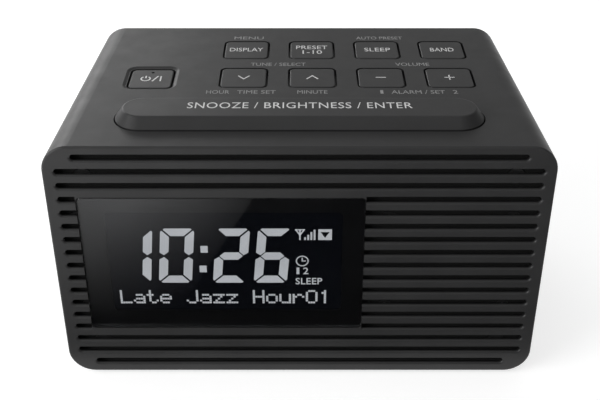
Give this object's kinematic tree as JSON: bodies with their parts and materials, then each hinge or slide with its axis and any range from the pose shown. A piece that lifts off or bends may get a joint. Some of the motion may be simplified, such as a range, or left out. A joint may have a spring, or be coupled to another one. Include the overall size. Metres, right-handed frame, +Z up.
{
  "type": "tabletop radio",
  "caption": "Bedside clock radio with a horizontally slotted front, a black display window, a round loudspeaker behind the slots, top keys and a raised snooze bar.",
  "frame": {"origin": "middle of the footprint, at the level that the feet stand on", "axes": "+X to the right of someone facing the radio, the front faces -Y, +Z up"},
  "size_m": [0.191, 0.112, 0.1129],
  "materials": {
    "cabinet_shell": "fine satin texture",
    "front_panel": "fine satin texture",
    "rear_cover": "fine satin texture",
    "base_cover": "fine satin texture",
    "display_window": "polished, smoke tinted",
    "display_holder": "moulded",
    "lcd_panel": "polished",
    "light_guide": "clear acrylic",
    "display_board": "solder mask",
    "zebra_strip": "soft",
    "speaker_frame": "pressed, painted",
    "speaker_magnet": "ground ferrite",
    "speaker_top_plate": "zinc plated",
    "speaker_yoke": "zinc plated",
    "speaker_cone": "pressed paper",
    "speaker_surround": "soft",
    "speaker_spider": "impregnated cloth",
    "voice_coil": "enamelled copper",
    "dust_cap": "pressed paper",
    "speaker_cloth": "black felt",
    "main_board": "solder mask",
    "tuner_can": "tin plated",
    "board_chips": "moulded epoxy",
    "board_capacitors": "sleeved cans",
    "transformer_core": "varnished laminations",
    "transformer_bobbin": "taped winding",
    "mains_inlet": "moulded",
    "inlet_pins": "plated",
    "antenna_socket": "nickel plated",
    "key_board": "solder mask",
    "switch_bodies": "moulded",
    "snooze_springs": "spring wire",
    "battery_tray": "fine satin texture",
    "backup_cell": "plated steel can",
    "cell_contacts": "plated spring leaf",
    "rubber_feet": "matt",
    "casing_screws": "blackened",
    "internal_screws": "zinc plated",
    "speaker_wires": "insulated wire",
    "board_ribbon": "flat cable",
    "keycap": "fine satin texture",
    "plunger": "moulded"
  },
  "bodies": {
    "cabinet": {"cabinet_shell": "cabinet_shell", "front_panel": "front_panel", "rear_cover": "rear_cover", "base_cover": "base_cover", "display_window": "display_window", "display_holder": "display_holder", "lcd_panel": "lcd_panel", "light_guide": "light_guide", "display_board": "display_board", "zebra_strip": "zebra_strip", "speaker_frame": "speaker_frame", "speaker_magnet": "speaker_magnet", "speaker_top_plate": "speaker_top_plate", "speaker_yoke": "speaker_yoke", "speaker_surround": "speaker_surround", "speaker_spider": "speaker_spider", "speaker_cloth": "speaker_cloth", "main_board": "main_board", "tuner_can": "tuner_can", "board_chips": "board_chips", "board_capacitors": "board_capacitors", "transformer_core": "transformer_core", "transformer_bobbin": "transformer_bobbin", "mains_inlet": "mains_inlet", "inlet_pins": "inlet_pins", "antenna_socket": "antenna_socket", "key_board": "key_board", "switch_bodies": "switch_bodies", "snooze_springs": "snooze_springs", "cell_contacts": "cell_contacts", "rubber_feet": "rubber_feet", "casing_screws": "casing_screws", "internal_screws": "internal_screws", "speaker_wires": "speaker_wires", "board_ribbon": "board_ribbon"},
    "display_key": {"display_button": "keycap", "display_plunger": "plunger"},
    "preset_key": {"preset_button": "keycap", "preset_plunger": "plunger"},
    "sleep_key": {"sleep_button": "keycap", "sleep_plunger": "plunger"},
    "band_key": {"band_button": "keycap", "band_plunger": "plunger"},
    "down_key": {"down_button": "keycap", "down_plunger": "plunger"},
    "up_key": {"up_button": "keycap", "up_plunger": "plunger"},
    "volume_down_key": {"volume_down_button": "keycap", "volume_down_plunger": "plunger"},
    "volume_up_key": {"volume_up_button": "keycap", "volume_up_plunger": "plunger"},
    "power_key": {"power_button": "keycap", "power_plunger": "plunger"},
    "snooze_key": {"snooze_bar": "keycap", "snooze_plunger": "plunger"},
    "cone": {"speaker_cone": "speaker_cone", "dust_cap": "dust_cap", "voice_coil": "voice_coil"},
    "tray": {"battery_tray": "battery_tray", "backup_cell": "backup_cell"}
  },
  "joints": [
    {"name": "display_press", "type": "slide", "parent": "cabinet", "child": "display_key", "axis": [0, 0, -1], "range_m": [0, 0.0005], "stiffness_N_per_m": 3000, "springref_m": -0.0003},
    {"name": "preset_press", "type": "slide", "parent": "cabinet", "child": "preset_key", "axis": [0, 0, -1], "range_m": [0, 0.0005], "stiffness_N_per_m": 3000, "springref_m": -0.0003},
    {"name": "sleep_press", "type": "slide", "parent": "cabinet", "child": "sleep_key", "axis": [0, 0, -1], "range_m": [0, 0.0005], "stiffness_N_per_m": 3000, "springref_m": -0.0003},
    {"name": "band_press", "type": "slide", "parent": "cabinet", "child": "band_key", "axis": [0, 0, -1], "range_m": [0, 0.0005], "stiffness_N_per_m": 3000, "springref_m": -0.0003},
    {"name": "down_press", "type": "slide", "parent": "cabinet", "child": "down_key", "axis": [0, 0, -1], "range_m": [0, 0.0005], "stiffness_N_per_m": 3000, "springref_m": -0.0003},
    {"name": "up_press", "type": "slide", "parent": "cabinet", "child": "up_key", "axis": [0, 0, -1], "range_m": [0, 0.0005], "stiffness_N_per_m": 3000, "springref_m": -0.0003},
    {"name": "volume_down_press", "type": "slide", "parent": "cabinet", "child": "volume_down_key", "axis": [0, 0, -1], "range_m": [0, 0.0005], "stiffness_N_per_m": 3000, "springref_m": -0.0003},
    {"name": "volume_up_press", "type": "slide", "parent": "cabinet", "child": "volume_up_key", "axis": [0, 0, -1], "range_m": [0, 0.0005], "stiffness_N_per_m": 3000, "springref_m": -0.0003},
    {"name": "power_press", "type": "slide", "parent": "cabinet", "child": "power_key", "axis": [0, 0, -1], "range_m": [0, 0.0005], "stiffness_N_per_m": 3000, "springref_m": -0.0003},
    {"name": "snooze_press", "type": "slide", "parent": "cabinet", "child": "snooze_key", "axis": [0, 0, -1], "range_m": [0, 0.001], "stiffness_N_per_m": 2500, "springref_m": -0.0006, "deforming": ["snooze_springs"]},
    {"name": "cone_stroke", "type": "slide", "parent": "cabinet", "child": "cone", "axis": [0, -1, 0], "range_m": [-0.0005, 0.0005], "stiffness_N_per_m": 1500, "deforming": ["speaker_surround", "speaker_spider"]},
    {"name": "tray_slide", "type": "slide", "parent": "cabinet", "child": "tray", "axis": [0, 1, 0], "range_m": [0, 0.022]}
  ]
}
